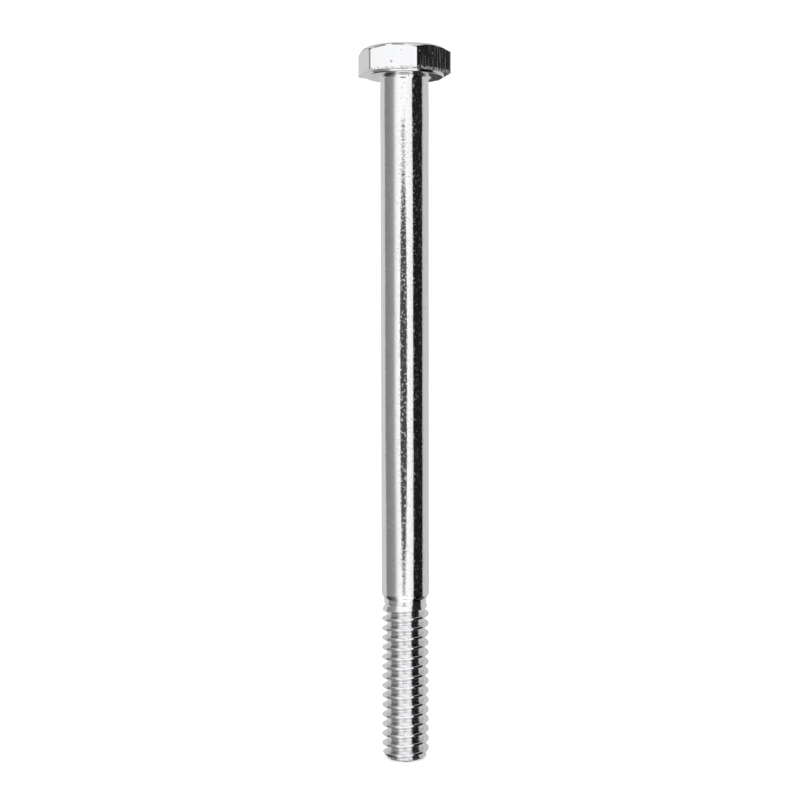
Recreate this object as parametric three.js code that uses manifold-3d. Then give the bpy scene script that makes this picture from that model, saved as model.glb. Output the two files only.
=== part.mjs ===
// Hex cap screw, 1/4-20 UNC x 3-1/2 in, zinc-plated steel, partly threaded.
// Units are millimetres. +Z runs up the axis towards the head, and the origin is the middle of the bearing
// plane under the head. Two flats of the hexagon face +Y and -Y, and two of its corners lie on the X axis.
// The bolt is one forging with a rolled thread. Its zones are separate closed solids that meet face to face
// on planes square to the axis.

import * as THREE from 'three';
import { mergeVertices } from 'three/addons/utils/BufferGeometryUtils.js';
import Module from 'manifold-3d';

const wasm = await Module();
wasm.setup();

// ---- driving dimensions ----

const INCH = 25.4;

const NOMINAL_DIAMETER = 0.25 * INCH;
const LENGTH = 3.5 * INCH; // bearing plane to the end of the point

// head
const ACROSS_FLATS = 10.87;
const HEAD_HEIGHT = 3.65; // bearing plane to the top of the head
const CORNER_RADIUS = 0.45; // upright edges of the hexagon
const TOP_CIRCLE_INSET = 0.385; // flats to the circle that the chamfer leaves on top
const CHAMFER_SLOPE = THREE.MathUtils.degToRad(30);
const WASHER_FACE_INSET = 0.31; // flats to the edge of the washer face
const WASHER_FACE_HEIGHT = 0.3;
const WASHER_EDGE_RADIUS = 0.28;

// shank
const SHANK_ALLOWANCE = 0.1; // nominal diameter less shank diameter
const HEAD_FILLET_RADIUS = 0.45;
const SHOULDER_RADIUS = 0.45; // rounds the end of the plain shank

// thread
const PITCH = INCH / 20;
const THREADED_LENGTH = 21.4; // end of the plain shank to the end of the point
const THREAD_ALLOWANCE = 0.2; // nominal diameter less thread diameter
const FLANK_ANGLE = THREE.MathUtils.degToRad(30); // each flank, from the plane square to the axis
const ROOT_RADIUS = 0.18; // rolled threads are round at the root and at the edges of the crest
const CREST_RADIUS = 0.14;
const CREST_FLAT = 0.1; // what the two crest radii leave between them
const NECK_STEP = 0.345; // shank to the plain neck, as thick as the blank for the thread
const NECK_HEIGHT = 0.9; // shoulder to where the ridges begin to rise out of the neck
const RIDGE_RISE_HEIGHT = 1.1; // over which they reach their full height
const GROOVE_DROP = 0.08; // shoulder to the middle of the groove where it starts
const GROOVE_START_ANGLE = THREE.MathUtils.degToRad(106); // round from +X
const RUNOUT_TURNS = 1.6; // turns over which the groove sinks to its full depth

// point
const POINT_INSET = 0.24; // thread root to the edge of the end face
const POINT_CHAMFER_HEIGHT = 1.15;
const POINT_HEIGHT = 1.5; // the end turn, as a zone of its own

// faceting
const ROUND_SEGMENTS = 48;
const THREAD_SEGMENTS = 24; // a turn of the groove has the same facets as the blank that it cuts
const CORNER_SEGMENTS = 4;
const ARC_SEGMENTS = 5;
const ROOT_SEGMENTS = 2; // on each side of the root's middle
const CREST_SEGMENTS = 2;

// ---- sizes and places worked out from them ----

const washerFaceRadius = ACROSS_FLATS / 2 - WASHER_FACE_INSET;
const topCircleRadius = ACROSS_FLATS / 2 - TOP_CIRCLE_INSET;
const shankRadius = (NOMINAL_DIAMETER - SHANK_ALLOWANCE) / 2;
const neckRadius = shankRadius - NECK_STEP;
const crestRadius = (NOMINAL_DIAMETER - THREAD_ALLOWANCE) / 2;
const threadRadii = ROOT_RADIUS + CREST_RADIUS;
const flankHeight = (PITCH - CREST_FLAT) / 2 - threadRadii * Math.cos(FLANK_ANGLE); // along the axis
const flankDepth = flankHeight / Math.tan(FLANK_ANGLE);
const threadDepth = flankDepth + threadRadii * (1 - Math.sin(FLANK_ANGLE));
const rootRadius = crestRadius - threadDepth;
const endFaceRadius = rootRadius - POINT_INSET;

const tipZ = -LENGTH;
const shoulderZ = tipZ + THREADED_LENGTH;
const neckZ = shoulderZ - NECK_HEIGHT;
const grooveStartZ = shoulderZ - GROOVE_DROP;
const fullThreadZ = grooveStartZ - (RUNOUT_TURNS + 1) * PITCH; // below it every turn is whole
const pointZ = tipZ + POINT_HEIGHT;

// ---- shape helpers ----

/** Points [x, y] of an arc about a centre, its first and last ones included. */
function arc(x, y, radius, fromAngle, toAngle, segments) {
  const points = [];
  for (let i = 0; i <= segments; i += 1) {
    const angle = THREE.MathUtils.lerp(fromAngle, toAngle, i / segments);
    points.push([x + radius * Math.cos(angle), y + radius * Math.sin(angle)]);
  }
  return points;
}

/** A three.js shape from a list of [x, y]. */
function outlineShape(points) {
  return new THREE.Shape(points.map(([x, y]) => new THREE.Vector2(x, y)));
}

/** A solid of revolution about Z. The profile is a list of [radius, height], from the axis to the axis. */
function turned(profile, segments = ROUND_SEGMENTS) {
  const points = profile.map(([radius, height]) => new THREE.Vector2(radius, height));
  const geometry = new THREE.LatheGeometry(points, segments);
  geometry.rotateX(Math.PI / 2); // the lathe's axis is Y
  return geometry;
}

/** A three.js geometry as a Manifold solid. */
function toSolid(geometry) {
  const bare = geometry.clone();
  bare.deleteAttribute('normal');
  bare.deleteAttribute('uv');
  const merged = mergeVertices(bare, 1e-5);
  const mesh = new wasm.Mesh({
    numProp: 3,
    vertProperties: new Float32Array(merged.attributes.position.array),
    triVerts: new Uint32Array(merged.index.array),
  });
  return new wasm.Manifold(mesh);
}

/** A Manifold solid as a three.js geometry with flat shading. */
function toGeometry(solid) {
  const { vertProperties, triVerts } = solid.getMesh();
  const geometry = new THREE.BufferGeometry();
  geometry.setAttribute('position', new THREE.BufferAttribute(Float32Array.from(vertProperties), 3));
  geometry.setIndex(Array.from(triVerts));
  const flat = geometry.toNonIndexed();
  flat.computeVertexNormals();
  return flat;
}

// ---- head ----

/** The hexagon with its corners rounded, flats facing +Y and -Y. */
function hexagonShape() {
  const halfTurn = Math.PI / 6; // half of what an outline turns at a corner
  const arcCentreRadius = (ACROSS_FLATS / 2 - CORNER_RADIUS) / Math.cos(halfTurn);
  const outline = [];
  for (let corner = 0; corner < 6; corner += 1) {
    const angle = (corner * Math.PI) / 3;
    const x = arcCentreRadius * Math.cos(angle);
    const y = arcCentreRadius * Math.sin(angle);
    outline.push(...arc(x, y, CORNER_RADIUS, angle - halfTurn, angle + halfTurn, CORNER_SEGMENTS));
  }
  return outlineShape(outline);
}

/** The hexagonal prism above the washer face, trimmed by the chamfer cone on top. */
function hexHead() {
  const prism = new THREE.ExtrudeGeometry(hexagonShape(), {
    depth: HEAD_HEIGHT - WASHER_FACE_HEIGHT,
    bevelEnabled: false,
  });
  prism.translate(0, 0, WASHER_FACE_HEIGHT);

  const coneRadius = ACROSS_FLATS; // well outside the corners
  const coneFoot = HEAD_HEIGHT - (coneRadius - topCircleRadius) * Math.tan(CHAMFER_SLOPE);
  const underside = Math.min(coneFoot, 0) - HEAD_HEIGHT; // clear below the prism
  const cone = turned([
    [0, underside],
    [coneRadius, underside],
    [coneRadius, coneFoot],
    [topCircleRadius, HEAD_HEIGHT],
    [0, HEAD_HEIGHT],
  ]);
  return toGeometry(toSolid(prism).intersect(toSolid(cone)));
}

/** The round face that bears on the work, its edge softened. The shank's fillet meets the middle of it. */
function washerFace() {
  const edgeX = washerFaceRadius - WASHER_EDGE_RADIUS;
  return turned([
    [0, 0],
    [shankRadius + HEAD_FILLET_RADIUS, 0],
    ...arc(edgeX, WASHER_EDGE_RADIUS, WASHER_EDGE_RADIUS, -Math.PI / 2, 0, ARC_SEGMENTS),
    [washerFaceRadius, WASHER_FACE_HEIGHT],
    [0, WASHER_FACE_HEIGHT],
  ]);
}

// ---- shank ----

/** The plain shank, from its fillet under the head down to its rounded shoulder. */
function shank() {
  const drop = Math.min(NECK_STEP, SHOULDER_RADIUS);
  const sweep = Math.acos(1 - drop / SHOULDER_RADIUS);
  const shoulderX = shankRadius - SHOULDER_RADIUS;
  const shoulderY = shoulderZ + SHOULDER_RADIUS * Math.sin(sweep);
  const filletX = shankRadius + HEAD_FILLET_RADIUS;
  return turned([
    [0, shoulderZ],
    ...arc(shoulderX, shoulderY, SHOULDER_RADIUS, -sweep, 0, ARC_SEGMENTS),
    ...arc(filletX, -HEAD_FILLET_RADIUS, HEAD_FILLET_RADIUS, Math.PI, Math.PI / 2, ARC_SEGMENTS),
    [0, 0],
  ]);
}

// ---- threaded end ----

/**
 * The middle of the groove's floor, followed down the bolt from just under the shoulder to beyond the point.
 * It starts at angle 0, and its angle falls as it goes down, which makes a right-hand thread. Over the
 * run-out it spirals in from outside the crests to the root radius.
 */
class GroovePath extends THREE.Curve {
  constructor() {
    super();
    this.turns = Math.ceil((grooveStartZ - tipZ) / PITCH + 1);
    this.startRadius = crestRadius + CREST_RADIUS;
  }

  turnsAt(t) {
    return t * this.turns;
  }

  angleAt(t) {
    return -2 * Math.PI * this.turnsAt(t);
  }

  getPoint(t, target = new THREE.Vector3()) {
    const grown = Math.min(1, this.turnsAt(t) / RUNOUT_TURNS);
    const radius = THREE.MathUtils.lerp(this.startRadius, rootRadius, Math.sin((grown * Math.PI) / 2));
    const angle = this.angleAt(t);
    const height = grooveStartZ - PITCH * this.turnsAt(t);
    return target.set(radius * Math.cos(angle), radius * Math.sin(angle), height);
  }

  getSpacedPoints(divisions) {
    return this.getPoints(divisions); // even steps of angle
  }

  /** Frames that keep the section in the plane of the axis: x points outwards and y up the bolt. */
  computeFrenetFrames(segments) {
    const frames = { tangents: [], normals: [], binormals: [] };
    for (let i = 0; i <= segments; i += 1) {
      const angle = this.angleAt(i / segments);
      frames.tangents.push(new THREE.Vector3(Math.sin(angle), -Math.cos(angle), 0));
      frames.normals.push(new THREE.Vector3(Math.cos(angle), Math.sin(angle), 0));
      frames.binormals.push(new THREE.Vector3(0, 0, 1));
    }
    return frames;
  }
}

/**
 * Half of the groove's section, from the middle of the round root along a flank to the round edge of the
 * crest. x is depth outwards from the root. The last chord runs on a little, so that the groove opens just
 * outside the blank.
 */
function halfSection() {
  const flankSweep = Math.PI / 2 - FLANK_ANGLE; // what an arc turns between the axis and a flank
  const root = arc(ROOT_RADIUS, 0, ROOT_RADIUS, Math.PI, Math.PI - flankSweep, ROOT_SEGMENTS);
  const crestX = threadDepth - CREST_RADIUS;
  const crestY = (PITCH - CREST_FLAT) / 2;
  const crest = arc(crestX, crestY, CREST_RADIUS, -flankSweep, 0, CREST_SEGMENTS);
  const [[x1, y1], [x2, y2]] = crest.slice(-2);
  return [...root, ...crest, [x2 + (x2 - x1) / 2, y2 + (y2 - y1) / 2]];
}

/** The groove as a solid, swept down the bolt. */
function threadGroove() {
  const upper = halfSection();
  const lower = upper.slice(1).reverse().map(([x, y]) => [x, -y]);
  const path = new GroovePath();
  return new THREE.ExtrudeGeometry(outlineShape([...upper, ...lower]), {
    steps: path.turns * THREAD_SEGMENTS,
    extrudePath: path,
    bevelEnabled: false,
  });
}

/** The threaded end before the groove is rolled in: neck, cone up to the crests, and chamfered point. */
function threadBlank() {
  return turned([
    [0, tipZ],
    [endFaceRadius, tipZ],
    [crestRadius, tipZ + POINT_CHAMFER_HEIGHT],
    [crestRadius, neckZ - RIDGE_RISE_HEIGHT],
    [neckRadius, neckZ],
    [neckRadius, shoulderZ],
    [0, shoulderZ],
  ], THREAD_SEGMENTS);
}

const threadedEnd = toSolid(threadBlank()).subtract(toSolid(threadGroove()));

/** The part of the threaded end between two heights, turned to where the groove starts. */
function threadZone(bottom, top) {
  const reach = 2 * crestRadius;
  const slice = turned([[0, bottom], [reach, bottom], [reach, top], [0, top]]);
  return toGeometry(threadedEnd.intersect(toSolid(slice))).rotateZ(GROOVE_START_ANGLE);
}

// ---- assembly ----

/** Bright zinc over steel. The drawn flats of the head are a little rougher than the turned surfaces. */
function zinc(roughness) {
  return new THREE.MeshStandardMaterial({ color: 0xc6c8ca, metalness: 1, roughness });
}

const zones = {
  hex_head: [hexHead(), zinc(0.24)],
  washer_face: [washerFace(), zinc(0.2)],
  shank: [shank(), zinc(0.16)],
  thread_runout: [threadZone(fullThreadZ, shoulderZ), zinc(0.22)],
  thread: [threadZone(pointZ, fullThreadZ), zinc(0.22)],
  point: [threadZone(tipZ, pointZ), zinc(0.26)],
};

const bolt = new THREE.Group();
for (const [name, [geometry, material]] of Object.entries(zones)) {
  const mesh = new THREE.Mesh(geometry, material);
  mesh.name = name;
  bolt.add(mesh);
}

export default bolt;
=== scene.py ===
"""Hex cap screw, 1/4-20 UNC x 3-1/2 in, bright zinc plated, standing on its point in a small light tent.

Everything is in metres in the CAD model's frame: +Z up the bolt's axis, the origin in the middle of the
bearing plane under the head.
"""

import bpy
import numpy as np
from mathutils import Matrix, Vector


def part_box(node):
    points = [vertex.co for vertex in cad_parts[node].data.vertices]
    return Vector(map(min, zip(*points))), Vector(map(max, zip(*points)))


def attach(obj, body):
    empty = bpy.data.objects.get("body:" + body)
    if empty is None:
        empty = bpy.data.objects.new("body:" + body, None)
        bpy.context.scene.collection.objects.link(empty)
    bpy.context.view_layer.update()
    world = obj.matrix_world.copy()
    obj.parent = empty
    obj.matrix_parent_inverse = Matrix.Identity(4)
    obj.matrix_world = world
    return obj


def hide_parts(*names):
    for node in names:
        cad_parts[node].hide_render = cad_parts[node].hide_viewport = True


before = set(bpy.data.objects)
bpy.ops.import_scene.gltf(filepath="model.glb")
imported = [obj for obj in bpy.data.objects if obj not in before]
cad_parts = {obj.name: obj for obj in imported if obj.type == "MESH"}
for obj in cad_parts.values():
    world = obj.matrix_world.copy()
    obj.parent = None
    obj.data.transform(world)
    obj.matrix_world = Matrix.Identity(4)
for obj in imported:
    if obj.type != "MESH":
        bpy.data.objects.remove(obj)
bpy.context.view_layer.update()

# ---- camera ----
# A catalogue view: a short telephoto lens a hand's breadth under the head, tipped down by a few degrees, so
# that the head is seen from below and the thread from above.

mm = 0.001
view_azimuth = np.radians(-74.24)
view_distance = 196.15 * mm
view_height = -32.5 * mm
view_aside = -0.65 * mm
view_tilt = np.radians(2.69)
view_roll = np.radians(-0.107)

to_camera = Vector((np.cos(view_azimuth), np.sin(view_azimuth), 0))
aside = Vector((-np.sin(view_azimuth), np.cos(view_azimuth), 0))
forward = -to_camera * np.cos(view_tilt) - Vector((0, 0, np.sin(view_tilt)))
upward = aside.cross(forward)
level_x = aside * np.cos(view_roll) + upward * np.sin(view_roll)
level_y = upward * np.cos(view_roll) - aside * np.sin(view_roll)

camera_data = bpy.data.cameras.new("catalogue_camera")
camera_data.lens = 67.66
camera_data.sensor_width = 36
camera_data.clip_start = 5 * mm
camera = bpy.data.objects.new("catalogue_camera", camera_data)
turn = Matrix((level_x, level_y, -forward)).transposed().to_4x4()
place = to_camera * view_distance + aside * view_aside + Vector((0, 0, view_height))
camera.matrix_world = Matrix.Translation(place) @ turn
bpy.context.scene.collection.objects.link(camera)
bpy.context.scene.camera = camera
bpy.context.scene.view_settings.view_transform = "Standard"


# ---- light tent ----
# The bolt stands in a white tent with a black flag to the camera's right and a grey card to its left. A metal
# this bright shows little else: each band along the shank is one of these cards.


def node(tree, kind, inputs=None, **settings):
    """Adds a shader node, sets its properties, and gives each input a value or a link."""
    made = tree.nodes.new("ShaderNode" + kind)
    for key, value in settings.items():
        setattr(made, key, value)
    for key, value in (inputs or {}).items():
        if isinstance(value, bpy.types.NodeSocket):
            tree.links.new(value, made.inputs[key])
        else:
            made.inputs[key].default_value = value
    return made


def math(tree, operation, a, b=0.0, c=0.0):
    """The output of a Math node."""
    return node(tree, "Math", {0: a, 1: b, 2: c}, operation=operation).outputs[0]


def ramp(tree, factor, stops):
    """The output of a colour ramp through grey stops, each a place from 0 to 1 and a brightness."""
    made = node(tree, "ValToRGB", {"Fac": factor})
    elements = made.color_ramp.elements
    while len(elements) < len(stops):
        elements.new(1.0)
    for element, (position, value) in zip(elements, stops):
        element.position = position
        element.color = (value, value, value, 1.0)
    return made.outputs["Color"]


def smooth_step(tree, value, low, high):
    """0 where the value is below low, 1 where it is above high, and an S-curve between. With low and high
    swapped it falls from 1 to 0 instead."""
    inputs = {"Value": value, "From Min": low, "From Max": high}
    return node(tree, "MapRange", inputs, interpolation_type="SMOOTHSTEP").outputs["Result"]


def blend(tree, share, below, above):
    """Mixes two greys or colours by a share from 0 to 1."""
    sides = {}
    for key, side in (("A", below), ("B", above)):
        sides[key] = side if isinstance(side, bpy.types.NodeSocket) else (side, side, side, 1.0)
    return node(tree, "Mix", {"Factor": share, **sides}, data_type="RGBA").outputs["Result"]


world = bpy.data.worlds.new("light_tent")
world.use_nodes = True
bpy.context.scene.world = world
tent = world.node_tree
tent.nodes.clear()
direction = node(tent, "TexCoord").outputs["Generated"]
turn_to_camera = {"Vector": direction, "Angle": -np.pi / 2 - view_azimuth}
faced = node(tent, "VectorRotate", turn_to_camera, rotation_type="Z_AXIS").outputs[0]
axis = node(tent, "SeparateXYZ", {0: faced})
sideways, behind, above = axis.outputs["X"], axis.outputs["Y"], axis.outputs["Z"]
below = math(tent, "MULTIPLY", above, -1)
in_front = math(tent, "MULTIPLY", behind, -1)
degrees_up = math(tent, "DEGREES", math(tent, "ARCSINE", above))
degrees_down = math(tent, "MULTIPLY", degrees_up, -1)

# The cards hang straight, and curve in under the table at their feet. There, what counts is the direction
# half way between the ray and the camera, so that a band runs straight on where the wire tapers
camera_level = 0.985  # level part of the direction from the bolt to the camera
bend_start, bend_end = 15, 35  # degrees down
hanging = math(tent, "DEGREES", math(tent, "ARCTAN2", sideways, in_front))
halfway = math(tent, "DEGREES", math(tent, "ARCTAN2", sideways, math(tent, "ADD", in_front, camera_level)))
to_foot = math(tent, "SUBTRACT", math(tent, "MULTIPLY", halfway, 2), hanging)
bent_in = smooth_step(tent, degrees_down, bend_start, bend_end)
degrees_round = math(tent, "MULTIPLY_ADD", to_foot, bent_in, hanging)
degrees_left = math(tent, "MULTIPLY", degrees_round, -1)

# walls: brightness by degrees round from the camera, plus to its right. The grey card on the left leans in at
# its foot, and the black flag on the right leans in at its top
softbox, black_flag = 1.22, 0.010
walls_round = [
    (-180, 0.62), (-160, 0.70), (-112, 0.74), (-107, 0.27), (-92, 0.27), (-75, 0.30), (-60, 0.37),
    (-54, 0.46), (-48.5, 0.78), (-43.5, 0.98), (-37, 1.12), (-28, softbox), (12, softbox), (38.3, 1.06),
    (39.8, black_flag), (91.5, black_flag), (95.0, 0.64), (120, 0.68), (150, 0.65), (180, 0.60),
]
card_lean, flag_lean = 5.5, 4.0
on_card = smooth_step(tent, degrees_left, 10, 20)
on_card = math(tent, "MULTIPLY", on_card, smooth_step(tent, degrees_down, 4, 8))
on_flag = smooth_step(tent, degrees_round, 0, 10)
on_flag = math(tent, "MULTIPLY", on_flag, smooth_step(tent, degrees_up, 4, 8))
on_flag = math(tent, "MULTIPLY", on_flag, smooth_step(tent, degrees_left, -80, -60))
leaning = math(tent, "MULTIPLY_ADD", on_card, -card_lean, degrees_round)
leaning = math(tent, "MULTIPLY_ADD", on_flag, flag_lean, leaning)
stops = [((degrees + 180) / 360, value) for degrees, value in walls_round]
dome = ramp(tent, math(tent, "MULTIPLY_ADD", leaning, 1 / 360, 0.5), stops)
foot_dimming, foot_start, foot_end = 1.6, 22, 38  # each card darkens towards its foot; degrees down
foot = math(tent, "POWER", node(tent, "RGBToBW", {0: dome}).outputs[0], foot_dimming)
dome = blend(tent, smooth_step(tent, degrees_down, foot_start, foot_end), dome, foot)

# the front of the camera itself, a dark rounded block with its stand below it, in degrees
lens_round, lens_up, lens_half_width, lens_half_height = -6.6, -1.6, 17.0, 8.0
lens_tone, stand_tone, lens_squareness = 0.07, 0.60, 2.2
across = math(tent, "DIVIDE", math(tent, "SUBTRACT", degrees_round, lens_round), lens_half_width)
along = math(tent, "DIVIDE", math(tent, "SUBTRACT", degrees_up, lens_up), lens_half_height)
across, along = math(tent, "ABSOLUTE", across), math(tent, "ABSOLUTE", along)
reach = math(
    tent, "ADD", math(tent, "POWER", across, lens_squareness), math(tent, "POWER", along, lens_squareness)
)
in_stand = smooth_step(tent, across, 0.22, 0.10)
in_stand = math(tent, "MULTIPLY", in_stand, smooth_step(tent, degrees_down, 7, 9))
in_stand = math(tent, "MULTIPLY", in_stand, smooth_step(tent, degrees_down, 14, 11))
dome = blend(tent, in_stand, dome, stand_tone)
dome = blend(tent, smooth_step(tent, reach, 1.06, 0.94), dome, lens_tone)

# low down behind the bolt, the dark table, whose edge comes higher on the right
table_right, table_tone = 0.045, 0.05
in_table = smooth_step(tent, degrees_round, 168, 176)
in_table = math(tent, "MULTIPLY", in_table, smooth_step(tent, degrees_down, 3, 6))
dome = blend(tent, in_table, dome, table_right)
in_table = smooth_step(tent, behind, 0.05, 0.25)
in_table = math(tent, "MULTIPLY", in_table, smooth_step(tent, degrees_down, 28, 42))
dome = blend(tent, in_table, dome, table_tone)

# roof: a white strip overhead, between a black panel on the right and a dark grey one on the left
roof_across = [
    (-1.0, 0.66), (-0.36, 0.66), (-0.34, 0.13), (-0.20, 0.13), (-0.175, 0.72),
    (0.175, 0.72), (0.19, black_flag), (0.335, black_flag), (0.355, 0.62), (1.0, 0.62),
]
stops = [((x + 1) / 2, value) for x, value in roof_across]
roof = ramp(tent, math(tent, "MULTIPLY_ADD", sideways, 0.5, 0.5), stops)
dome = blend(tent, smooth_step(tent, above, 0.66, 0.72), dome, roof)
overhead = math(tent, "ABSOLUTE", sideways)
in_strip = smooth_step(tent, overhead, 0.185, 0.165)
in_strip = math(tent, "MULTIPLY", in_strip, smooth_step(tent, above, 0.80, 0.87))
dome = blend(tent, in_strip, dome, softbox)

# straight down, the same dark table
dome = blend(tent, smooth_step(tent, below, 0.955, 0.975), dome, table_tone)

# only reflections see the cards; the floor and the view past the bolt are lit an even white
path = node(tent, "LightPath")
paper_light = 1.16
seen = blend(tent, path.outputs["Is Glossy Ray"], paper_light, dome)
light = node(tent, "Background", {"Color": seen, "Strength": 1.0})
tent.links.new(light.outputs[0], node(tent, "OutputWorld").inputs["Surface"])

floor_data = bpy.data.meshes.new("tent_floor")
floor_half = 1.5
floor_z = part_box("point")[0].z - 0.01 * mm
floor_corners = [(x * floor_half, y * floor_half, floor_z) for x, y in ((-1, -1), (1, -1), (1, 1), (-1, 1))]
floor_data.from_pydata(floor_corners, [], [(0, 1, 2, 3)])
floor = bpy.data.objects.new("tent_floor", floor_data)
floor.visible_glossy = False
bpy.context.scene.collection.objects.link(floor)
paper = bpy.data.materials.new("white_paper")
paper.use_nodes = True
sheet = paper.node_tree
lit = sheet.nodes["Principled BSDF"]
lit.inputs["Base Color"].default_value = (0.9, 0.9, 0.9, 1)
lit.inputs["Roughness"].default_value = 0.9
lit.inputs["Emission Color"].default_value = (1, 1, 1, 1)
lit.inputs["Emission Strength"].default_value = 0.4
# seen from below, the paper is clear, so that the underside of the bolt shows
from_below = node(sheet, "NewGeometry").outputs["Backfacing"]
clear = node(sheet, "BsdfTransparent").outputs[0]
shown = node(sheet, "MixShader", {0: from_below, 1: lit.outputs[0], 2: clear}).outputs[0]
sheet.links.new(shown, sheet.nodes["Material Output"].inputs["Surface"])
floor_data.materials.append(paper)


# ---- hex head ----
# Cold-headed from the end of the wire, then punched through a hexagonal trimming die, which draws fine
# upright lines on the flats and tears a ragged edge along the bottom of each. The top is chamfered to 30
# degrees.


def closed_surface(name, rings, normals, flat_rows=()):
    """Skins rings of points, given from the bottom up and anticlockwise seen from above. Ring i and ring
    i + 1 are joined by a row of quads, and each end closes on the middle of its last ring. Rows in flat_rows
    are shaded flat, and the others by the normals given at the points."""
    n, m, _ = rings.shape
    index = np.arange(n * m).reshape(n, m)
    after = np.roll(index, -1, axis=1)
    quads = np.stack([index[:-1], after[:-1], after[1:], index[1:]], axis=-1).reshape(-1, 4)
    bottom, top = n * m, n * m + 1
    lower = np.stack([np.full(m, bottom), after[0], index[0]], axis=-1)
    upper = np.stack([np.full(m, top), index[-1], after[-1]], axis=-1)
    points = np.concatenate([rings.reshape(-1, 3), rings[:1].mean(axis=1), rings[-1:].mean(axis=1)])
    mesh = bpy.data.meshes.new(name)
    mesh.from_pydata(points, [], quads.tolist() + lower.tolist() + upper.tolist())

    corner = normals.reshape(-1, 3)[quads]
    a, b, c, d = (points[quads[:, k]] for k in range(4))
    face = np.cross(c - a, d - b)
    face /= np.linalg.norm(face, axis=1, keepdims=True) + 1e-30
    flat = np.isin(np.repeat(np.arange(n - 1), m), list(flat_rows))
    corner[flat] = face[flat, None, :]
    ends = np.concatenate([np.tile((0.0, 0.0, -1.0), (3 * m, 1)), np.tile((0.0, 0.0, 1.0), (3 * m, 1))])
    mesh.polygons.foreach_set("use_smooth", np.ones(len(mesh.polygons), bool))
    mesh.normals_split_custom_set(np.concatenate([corner.reshape(-1, 3), ends]))
    mesh.update()
    piece = bpy.data.objects.new(name, mesh)
    bpy.context.scene.collection.objects.link(piece)
    return piece


def ring_normals(rings):
    """Outward normals of a skin of rings: the cross product of the direction round the ring and the direction
    from ring to ring, each a difference that allows for uneven spacing."""
    wrapped = np.concatenate([rings[:, -1:], rings, rings[:, :1]], axis=1)
    steps = np.linalg.norm(np.diff(wrapped, axis=1), axis=2).max(axis=0)
    round_at = np.concatenate([[0], np.cumsum(steps)])
    around = np.gradient(wrapped, round_at, axis=1)[:, 1:-1]
    climbs = np.linalg.norm(np.diff(rings, axis=0), axis=2).mean(axis=1)
    climb = np.gradient(rings, np.concatenate([[0], np.cumsum(climbs)]), axis=0)
    normals = np.cross(around, climb)
    return normals / (np.linalg.norm(normals, axis=2, keepdims=True) + 1e-30)


def value_noise(u, v, cells_round, seed):
    """Smooth noise from 0 to 1 on a grid of random values, blended by an S-curve. u runs once round from 0
    to 1 and closes on itself, and v counts cells."""
    rng = np.random.default_rng(seed)
    values = rng.random((int(np.ceil(v.max())) + 3, cells_round))
    x, y = (u % 1.0) * cells_round, v - np.floor(v.min())
    i, j = np.floor(x).astype(int), np.floor(y).astype(int)
    fx, fy = x - i, y - j
    fx, fy = fx * fx * (3 - 2 * fx), fy * fy * (3 - 2 * fy)
    i0, i1 = i % cells_round, (i + 1) % cells_round
    low_row = values[j, i0] * (1 - fx) + values[j, i1] * fx
    high_row = values[j + 1, i0] * (1 - fx) + values[j + 1, i1] * fx
    return low_row * (1 - fy) + high_row * fy


def bent(start, corner, end, count):
    """Points of a quadratic curve from start to end that rounds off the corner between them."""
    t = np.linspace(0, 1, count)
    return [(1 - s) ** 2 * start + 2 * s * (1 - s) * corner + s**2 * end for s in t]


head_low, head_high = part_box("hex_head")
across_flats = head_high.y - head_low.y
corner_radius = 0.45 * mm
top_circle_radius = across_flats / 2 - 0.385 * mm
chamfer_slope = np.tan(np.radians(30))
points_per_flat, points_per_corner = 110, 10

# outline of the hexagon: an arc at each corner and a straight flat after it, anticlockwise from +X
arc_middle = (across_flats / 2 - corner_radius) / np.cos(np.pi / 6)
outline, facing = [], []
for corner_angle in np.radians(np.arange(0, 360, 60)):
    swing = np.linspace(-np.pi / 6, np.pi / 6, points_per_corner, endpoint=False)
    middle = arc_middle * np.array((np.cos(corner_angle), np.sin(corner_angle)))
    arc = corner_angle + swing
    outward = np.stack([np.cos(arc), np.sin(arc)], axis=1)
    outline.append(middle + corner_radius * outward)
    flat_angle = corner_angle + np.pi / 6
    square = np.array((np.cos(flat_angle), np.sin(flat_angle)))
    next_middle = arc_middle * np.array((np.cos(corner_angle + np.pi / 3), np.sin(corner_angle + np.pi / 3)))
    share = np.linspace(0, 1, points_per_flat, endpoint=False)[:, None]
    outline.append(middle + corner_radius * square + (next_middle - middle) * share)
    facing += [outward, np.tile(square, (points_per_flat, 1))]
outline, facing = np.concatenate(outline), np.concatenate(facing)
reach_out = np.linalg.norm(outline, axis=1)
round_share = np.arange(len(outline)) / len(outline)
on_flat = np.tile(np.r_[np.zeros(points_per_corner), np.ones(points_per_flat)], 6)

# section of the head at each point of the outline, as distance from the axis and height
z_under, z_top = head_low.z, head_high.z
z_chamfer = z_top - (reach_out - top_circle_radius) * chamfer_slope
one_row = np.zeros_like(round_share)
teeth = value_noise(round_share, one_row, cells_round=330, seed=11) ** 2
teeth = teeth * value_noise(round_share, one_row, cells_round=60, seed=12)
least_tear, deeper_tear = 0.035 * mm, 0.26 * mm
tear = least_tear + deeper_tear * teeth
soft = 0.07 * mm
edge_points, cone_points = 5, 4
level = np.ones_like(reach_out)


def at(distance, height):
    """A row of the section, given its distance from the axis and its height."""
    return np.stack([distance * level, height * level], axis=-1)


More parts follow.
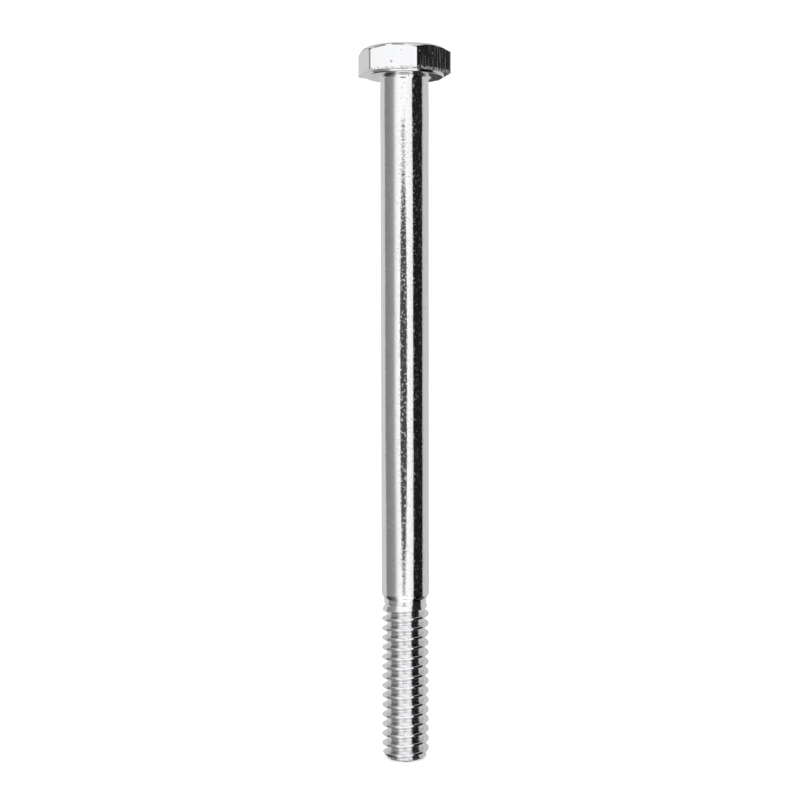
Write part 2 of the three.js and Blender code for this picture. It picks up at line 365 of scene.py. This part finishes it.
section = [at(r * mm, z_under) for r in (1.5, 3.0, 4.2, 4.9)]
section += bent(at(reach_out - tear, z_under), at(reach_out, z_under), at(reach_out, z_under + tear), 6)
side_share = np.concatenate([np.linspace(0, 0.14, 12)[1:], np.linspace(0.14, 1, 42)[1:-1]])
side_low, side_high = z_under + tear, z_chamfer - soft
section += [at(reach_out, side_low + (side_high - side_low) * s) for s in side_share]
edge_end = at(reach_out - soft, z_chamfer + soft * chamfer_slope)
section += bent(at(reach_out, side_high), at(reach_out, z_chamfer), edge_end, edge_points)
cone_low, cone_high = reach_out - soft, top_circle_radius + soft
for s in np.linspace(0, 1, cone_points + 2)[1:-1]:
    distance = cone_low + (cone_high - cone_low) * s
    section.append(at(distance, z_top - (distance - top_circle_radius) * chamfer_slope))
rim_corner, rim_end = at(top_circle_radius, z_top), at(top_circle_radius - soft, z_top)
section += bent(at(cone_high, z_top - soft * chamfer_slope), rim_corner, rim_end, edge_points)
top_rings = [at(r * mm, z_top) for r in (4.6, 3.5, 2.0, 0.8)]
rows_above_sides = 2 * edge_points + cone_points + len(top_rings)
section = np.array(section + top_rings)

# the trimming die's marks: drawn lines up the flats, torn steel along their lower edges, and one small pit.
# Heights up from the underside are in millimetres
line_depth, torn_depth, torn_height, torn_cells_per_mm = 0.0014 * mm, 0.20 * mm, 0.24, 9
height_up = (section[..., 1] - z_under) / mm
across = np.broadcast_to(round_share, height_up.shape)
drawn = value_noise(across, np.zeros_like(across), cells_round=420, seed=3) - 0.5
torn = np.clip(value_noise(across, height_up * torn_cells_per_mm, cells_round=330, seed=5) - 0.5, 0, None)
torn = torn * np.exp(-((height_up / torn_height) ** 2))
sides = (np.arange(len(section)) < len(section) - rows_above_sides)[:, None] & (height_up > 0.02)
sunk = np.where(sides & (on_flat > 0), line_depth * drawn + torn_depth * torn, 0.0)
pit_x, pit_z, pit_radius, pit_depth = -0.27 * mm, 1.22 * mm, 0.11 * mm, 0.09 * mm
facing_front = (outline[:, 1] < -across_flats / 2 + 0.05 * mm)[None, :]
from_pit = np.hypot(outline[None, :, 0] - pit_x, section[..., 1] - pit_z) / pit_radius
sunk += np.where(facing_front, pit_depth * np.exp(-(from_pit**2)), 0.0)

rings = np.empty(section.shape[:2] + (3,))
scaled = outline[None] * (section[..., :1] / reach_out[None, :, None])
rings[..., :2] = scaled - facing[None] * sunk[..., None]
rings[..., 2] = section[..., 1]
hex_head = closed_surface("hex_head_skin", rings, ring_normals(rings))


def bright_zinc(name, tone, gloss, specks, mottle, lines, nicks):
    """Bright zinc plate over steel: a clean metal whose colour and roughness wander a little, with fine
    specks that are rougher than the rest by the given amount. Its surface has a mottling, lines drawn along
    the bolt, and sparse short nicks, whose heights are in micrometres. A little grey passivation stays in
    the nicks."""
    material = bpy.data.materials.new(name)
    material.use_nodes = True
    tree = material.node_tree
    shader = tree.nodes["Principled BSDF"]
    shader.inputs["Metallic"].default_value = 1.0
    place = node(tree, "TexCoord").outputs["Object"]

    cloud = node(tree, "TexNoise", {"Vector": place, "Scale": 600, "Detail": 3.0}).outputs["Fac"]
    grain = node(tree, "TexNoise", {"Vector": place, "Scale": 3400, "Detail": 1.5}).outputs["Fac"]
    speck = node(tree, "TexNoise", {"Vector": place, "Scale": 3000}).outputs["Fac"]
    speck = smooth_step(tree, speck, 0.54, 0.64)
    stretched = node(tree, "Mapping", {"Vector": place, "Scale": (1, 1, 0.03)}).outputs[0]
    drawn = node(tree, "TexNoise", {"Vector": stretched, "Scale": 6500, "Detail": 1.0}).outputs["Fac"]
    drawn = smooth_step(tree, drawn, 0.56, 0.70)
    slant = {"Vector": place, "Rotation": (0.5, 0.7, 0.3), "Scale": (1, 0.35, 1)}
    slanted = node(tree, "Mapping", slant).outputs[0]
    from_nick = node(tree, "TexVoronoi", {"Vector": slanted, "Scale": 1100}).outputs["Distance"]
    in_nick = smooth_step(tree, from_nick, 0.10, 0.05)

    wander = math(tree, "MULTIPLY_ADD", cloud, 0.10, 0.95)
    colour = node(tree, "HueSaturation", {"Color": (*tone, 1), "Value": wander}).outputs[0]
    dulled = blend(tree, math(tree, "MULTIPLY", in_nick, 0.7), colour, 0.25)
    tree.links.new(dulled, shader.inputs["Base Color"])
    roughness = math(tree, "MULTIPLY_ADD", cloud, 0.06, gloss - 0.03)
    roughness = math(tree, "MULTIPLY_ADD", speck, specks, roughness)
    tree.links.new(roughness, shader.inputs["Roughness"])

    height = math(tree, "MULTIPLY", grain, mottle)
    height = math(tree, "MULTIPLY_ADD", drawn, lines, height)
    height = math(tree, "MULTIPLY_ADD", in_nick, -nicks, height)
    bump = node(tree, "Bump", {"Strength": 1.0, "Distance": 1e-6, "Height": height})
    tree.links.new(bump.outputs["Normal"], shader.inputs["Normal"])
    return material


trimmed_zinc = bright_zinc(
    "zinc_on_trimmed_flats", (0.79, 0.795, 0.805), 0.075, specks=0.0, mottle=0.5, lines=1.2, nicks=6.0
)

# painted shade: a thin dark line, dull and uneven, painted into the colour along the upper edge of each flat,
# just under the chamfer
tree = trimmed_zinc.node_tree
place = node(tree, "TexCoord").outputs["Object"]
split = node(tree, "SeparateXYZ", {0: place})
flat_place = node(tree, "CombineXYZ", {"X": split.outputs["X"], "Y": split.outputs["Y"]}).outputs[0]
from_axis = node(tree, "VectorMath", {0: flat_place}, operation="LENGTH").outputs["Value"]
cone_tip_z = z_top + top_circle_radius * chamfer_slope
chamfer_here = math(tree, "MULTIPLY_ADD", from_axis, -chamfer_slope, cone_tip_z)
below_edge = math(tree, "MULTIPLY", math(tree, "SUBTRACT", chamfer_here, split.outputs["Z"]), 1 / mm)
uneven = node(tree, "TexNoise", {"Vector": place, "Scale": 900, "Detail": 2.0}).outputs["Fac"]
painted_edge_shade = smooth_step(tree, below_edge, 0.22, 0.12)
painted_edge_shade = math(tree, "MULTIPLY", painted_edge_shade, smooth_step(tree, uneven, 0.38, 0.52))
painted_edge_shade = math(tree, "MULTIPLY", painted_edge_shade, smooth_step(tree, below_edge, 0.01, 0.02))
off_top = smooth_step(tree, from_axis, top_circle_radius + 0.1 * mm, top_circle_radius + 0.3 * mm)
painted_edge_shade = math(tree, "MULTIPLY", painted_edge_shade, off_top)
colour_input = tree.nodes["Principled BSDF"].inputs["Base Color"]
# the painted shade darkens the base colour towards a dark grey along that edge
colour = blend(tree, math(tree, "MULTIPLY", painted_edge_shade, 0.9), colour_input.links[0].from_socket, 0.15)
tree.links.new(colour, colour_input)
hex_head.data.materials.append(trimmed_zinc)
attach(hex_head, "root")
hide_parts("hex_head")


# ---- washer face ----
# The round face under the hexagon that bears on the work, formed by the heading die. Its edge is soft, and
# its flat ring runs in to the shank's fillet.


def turned(profile, segments):
    """Rings of a turned piece: its profile, a list of distances from the axis and heights, bottom first,
    carried round the axis."""
    around = np.linspace(0, 2 * np.pi, segments, endpoint=False)
    distance, height = np.array(profile).T
    return np.stack(
        [
            np.outer(distance, np.cos(around)),
            np.outer(distance, np.sin(around)),
            np.repeat(height[:, None], segments, axis=1),
        ],
        axis=-1,
    )


washer_low, washer_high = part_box("washer_face")
washer_radius = washer_high.x
washer_soft = 0.28 * mm
edge_turn = np.linspace(-np.pi / 2, 0, 9)
profile = [(r * mm, 0.0) for r in (1.0, 2.5, 3.3, 3.575, 4.0, 4.5)]
profile += [
    (washer_radius + washer_soft * (np.cos(a) - 1), washer_soft * (1 + np.sin(a))) for a in edge_turn
]
profile += [(washer_radius, washer_high.z), (4.2 * mm, washer_high.z), (2.0 * mm, washer_high.z)]
rings = turned(profile, 240)
hidden = range(len(profile) - 3, len(profile))
washer_face = closed_surface("washer_face_skin", rings, ring_normals(rings), hidden)
formed_zinc = bright_zinc(
    "zinc_on_bearing_face", (0.78, 0.785, 0.795), 0.13, specks=0.05, mottle=4.0, lines=0.0, nicks=6.0
)
washer_face.data.materials.append(formed_zinc)
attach(washer_face, "root")
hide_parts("washer_face")


# ---- shank ----
# Plain drawn wire, a touch fatter just under the head where the heading die upset it, with a fillet into the
# bearing face and a rounded shoulder where the wire was necked down for the thread.

shank_low, shank_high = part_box("shank")
fillet_radius = 0.45 * mm
shank_radius = shank_high.x - fillet_radius
shoulder_z = shank_low.z
neck_radius = shank_radius - 0.345 * mm
shoulder_above, shoulder_below = 0.50 * mm, 0.35 * mm  # how far the shoulder's curve reaches each way


def shoulder_radius(z):
    """Distance from the axis where the wire necks down: half a cosine wave from the shank to the neck."""
    share = np.clip((z - shoulder_z + shoulder_below) / (shoulder_above + shoulder_below), 0, 1)
    return neck_radius + (shank_radius - neck_radius) * (1 - np.cos(np.pi * share)) / 2


shoulder_rows = np.linspace(shoulder_z, shoulder_z + shoulder_above, 14)
side_z = np.linspace(shoulder_z + shoulder_above, -fillet_radius, 340)[1:-1]
upset_rise, upset_z, upset_spread = 0.035 * mm, -5.0 * mm, 2.6 * mm
upset = upset_rise * np.exp(-(((side_z - upset_z) / upset_spread) ** 2))
fillet_turn = np.linspace(np.pi, np.pi / 2, 11)

profile = [(r * mm, shoulder_z) for r in (1.0, 2.0, 2.5)]
profile += list(zip(shoulder_radius(shoulder_rows), shoulder_rows))
profile += list(zip(shank_radius + upset, side_z))
profile += [
    (shank_radius + fillet_radius * (1 + np.cos(a)), fillet_radius * (np.sin(a) - 1)) for a in fillet_turn
]
profile += [(2.4 * mm, 0.0), (1.0 * mm, 0.0)]
rings = turned(profile, 200)
hidden = [0, 1, 2, len(profile) - 3, len(profile) - 2]
shank = closed_surface("shank_skin", rings, ring_normals(rings), flat_rows=hidden)
drawn_zinc = bright_zinc(
    "zinc_on_drawn_wire", (0.80, 0.805, 0.815), 0.08, specks=0.19, mottle=5.0, lines=1.0, nicks=8.0
)
shank.data.materials.append(drawn_zinc)
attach(shank, "root")
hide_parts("shank")


# ---- thread run-out ----
# The neck of the wire, drawn down to the size that the thread is rolled from, and the turns over which the
# dies sink to their full depth. The ridges grow out of the neck.

pitch = 25.4 / 20 * mm
crest_radius = 3.075 * mm
flank = np.radians(30)
root_round, crest_round, crest_flat = 0.18 * mm, 0.14 * mm, 0.10 * mm
flank_height = (pitch - crest_flat) / 2 - (root_round + crest_round) * np.cos(flank)
thread_depth = flank_height / np.tan(flank) + (root_round + crest_round) * (1 - np.sin(flank))
root_radius = crest_radius - thread_depth
neck_z = shoulder_z - 0.9 * mm
ridge_rise = 1.1 * mm
groove_start_z = shoulder_z - 0.08 * mm
groove_start_angle = np.radians(106)
runout_turns = 1.6
crest_softness, runout_softness = 0.004 * mm, 0.10 * mm  # how softly the groove's edge meets the blank
points_round, ring_spacing = 160, 0.035 * mm
tip_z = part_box("point")[0].z
point_chamfer, worn_edge = 0.95 * mm, 0.25 * mm
worn_radius, end_face_radius = 2.68 * mm, 2.30 * mm


def groove_rise(off_middle):
    """Height of the thread form above its root, by the distance along the axis from the groove's middle: a
    round root, a straight flank at 30 degrees to the plane square to the axis, a round crest edge, and the
    crest."""
    y = np.abs(off_middle)
    root_end = root_round * np.cos(flank)
    crest_start = pitch / 2 - crest_flat / 2 - crest_round * np.cos(flank)
    in_root = root_round - np.sqrt(np.clip(root_round**2 - y**2, 0, None))
    on_flank = root_round * (1 - np.sin(flank)) + (y - root_end) / np.tan(flank)
    to_crest = np.clip(pitch / 2 - crest_flat / 2 - y, 0, crest_round)
    in_crest = thread_depth - crest_round + np.sqrt(crest_round**2 - to_crest**2)
    rise = np.where(y < root_end, in_root, np.where(y < crest_start, on_flank, in_crest))
    return np.where(y > (pitch - crest_flat) / 2, thread_depth, rise)


def threaded_radius(angle, z):
    """Distance from the axis of the threaded end: the smaller of the rolled blank, tapered to its worn end,
    and the groove's form, which follows a right-hand helix down from the shoulder and sinks to full depth
    over the run-out."""
    bends_at = np.array([neck_z, neck_z - ridge_rise, tip_z + point_chamfer, tip_z + worn_edge, tip_z])
    blank = np.interp(-z, -bends_at, [neck_radius, crest_radius, crest_radius, worn_radius, end_face_radius])
    blank = np.where(z > neck_z, np.maximum(blank, shoulder_radius(z)), blank)
    part_turn = ((groove_start_angle - angle) / (2 * np.pi)) % 1.0
    whole_turns = np.round((groove_start_z - z) / pitch - part_turn)
    turns = np.clip(whole_turns, 0, None) + part_turn
    grown = np.sin(np.clip(turns / runout_turns, 0, 1) * np.pi / 2)
    floor_radius = crest_radius + crest_round + (root_radius - crest_radius - crest_round) * grown
    off_middle = z - (groove_start_z - pitch * turns)
    groove = floor_radius + groove_rise(np.clip(np.abs(off_middle), 0, pitch))
    softness = np.maximum(runout_softness * (1 - grown), crest_softness)
    share = np.clip(0.5 + 0.5 * (groove - blank) / softness, 0, 1)
    return groove + (blank - groove) * share - softness * share * (1 - share)


def threaded_rings(low_z, high_z, spacing):
    """Rings and normals of the threaded end between two heights. The normals come from the slope of the
    threaded radius round and along the axis, so neighbouring zones meet without a seam."""
    heights = np.linspace(low_z, high_z, int(np.ceil((high_z - low_z) / spacing)) + 1)
    z, angle = np.meshgrid(heights, np.linspace(0, 2 * np.pi, points_round, endpoint=False), indexing="ij")
    radius = threaded_radius(angle, z)
    step = 0.004 * mm
    along = (threaded_radius(angle, z + step) - threaded_radius(angle, z - step)) / (2 * step)
    swing = step / crest_radius
    sideways = (threaded_radius(angle + swing, z) - threaded_radius(angle - swing, z)) / (2 * swing) / radius
    normals = np.stack(
        [np.cos(angle) + sideways * np.sin(angle), np.sin(angle) - sideways * np.cos(angle), -along], axis=-1
    )
    normals /= np.linalg.norm(normals, axis=2, keepdims=True)
    return np.stack([radius * np.cos(angle), radius * np.sin(angle), z], axis=-1), normals


def capped(rings, normals, shares=(0.3, 0.7)):
    """Adds rings at the given shares of the end radii, which close both ends, and gives the rows of faces
    that they make. An uneven end levels out towards its middle, by the fourth power of the share."""

    def cap(ring, order, up):
        level = ring[:, 2].mean()
        uneven = ring[:, 2] - level
        rows = [np.column_stack([ring[:, :2] * share, level + uneven * share**4]) for share in order]
        return np.stack(rows), np.broadcast_to((0.0, 0.0, up), (len(rows), *ring.shape))

    low_rows, low_normals = cap(rings[0], shares, -1.0)
    high_rows, high_normals = cap(rings[-1], shares[::-1], 1.0)
    all_rings = np.concatenate([low_rows, rings, high_rows])
    all_normals = np.concatenate([low_normals, normals, high_normals])
    last = len(all_rings) - 1
    flat = [*range(len(shares)), *range(last - len(shares), last)]
    return all_rings, all_normals, flat


runout_low, runout_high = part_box("thread_runout")
rings, normals, flat = capped(*threaded_rings(runout_low.z, runout_high.z, ring_spacing))
thread_runout = closed_surface("thread_runout_skin", rings, normals, flat)
rolled_zinc = bright_zinc(
    "zinc_on_rolled_thread", (0.80, 0.805, 0.815), 0.12, specks=0.08, mottle=5.0, lines=0.0, nicks=6.0
)
thread_runout.data.materials.append(rolled_zinc)
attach(thread_runout, "root")
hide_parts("thread_runout")


# ---- thread ----
# A right-hand 60 degree thread, 20 to the inch, rolled between flat dies: round at the root and at the edges
# of the crest.

thread_low, thread_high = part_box("thread")
rings, normals, flat = capped(*threaded_rings(thread_low.z, thread_high.z, ring_spacing))
thread = closed_surface("thread_skin", rings, normals, flat)
thread.data.materials.append(rolled_zinc)
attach(thread, "root")
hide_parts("thread")


# ---- point ----
# The end of the wire, sheared off square and chamfered, so that the last turn of thread dies away over a
# rough, rounded edge.

point_low, point_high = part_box("point")
point_spacing, rim_radius = 0.03 * mm, 2.4 * mm
rings, normals = threaded_rings(point_low.z, point_high.z, point_spacing)

# the shear's marks: the end face is a little uneven, and its edge is chipped and pressed in by turns. Each
# mark is a coarse noise and a finer one, and dies away up from the tip. These sizes are in millimetres
coarse_lift, fine_lift, lift_height = 0.08, 0.04, 0.9
coarse_dent, fine_dent, dent_height = 0.16, 0.12, 0.45
round_share = np.indices(rings.shape[:2])[1] / rings.shape[1]
above_tip = (rings[..., 2] - tip_z) / mm
one_height = np.zeros_like(above_tip)
lift = coarse_lift * value_noise(round_share, one_height, cells_round=9, seed=21) ** 2
lift += fine_lift * value_noise(round_share, one_height, cells_round=37, seed=22)
dent = coarse_dent * (value_noise(round_share, above_tip * 5, cells_round=29, seed=23) - 0.5)
dent += fine_dent * (value_noise(round_share, above_tip * 9, cells_round=67, seed=24) - 0.5)
near_edge = np.exp(-((above_tip / dent_height) ** 2))
rings[..., 2] += lift * mm * np.clip(1 - above_tip / lift_height, 0, 1) ** 2
rings[..., :2] *= (1 + dent * mm * near_edge / rim_radius)[..., None]

# where the rim is worn, the normals follow the dents and not the thread's formula
worn = np.clip(1.6 - above_tip / 0.5, 0, 1)[..., None]
normals = normals * (1 - worn) + ring_normals(rings) * worn
rings, normals, flat = capped(rings, normals, shares=(0.3, 0.7, 0.92))
point = closed_surface("point_skin", rings, normals, flat)
sheared_zinc = bright_zinc(
    "zinc_on_sheared_end", (0.78, 0.785, 0.795), 0.16, specks=0.08, mottle=5.0, lines=0.0, nicks=12.0
)
point.data.materials.append(sheared_zinc)
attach(point, "root")
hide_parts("point")
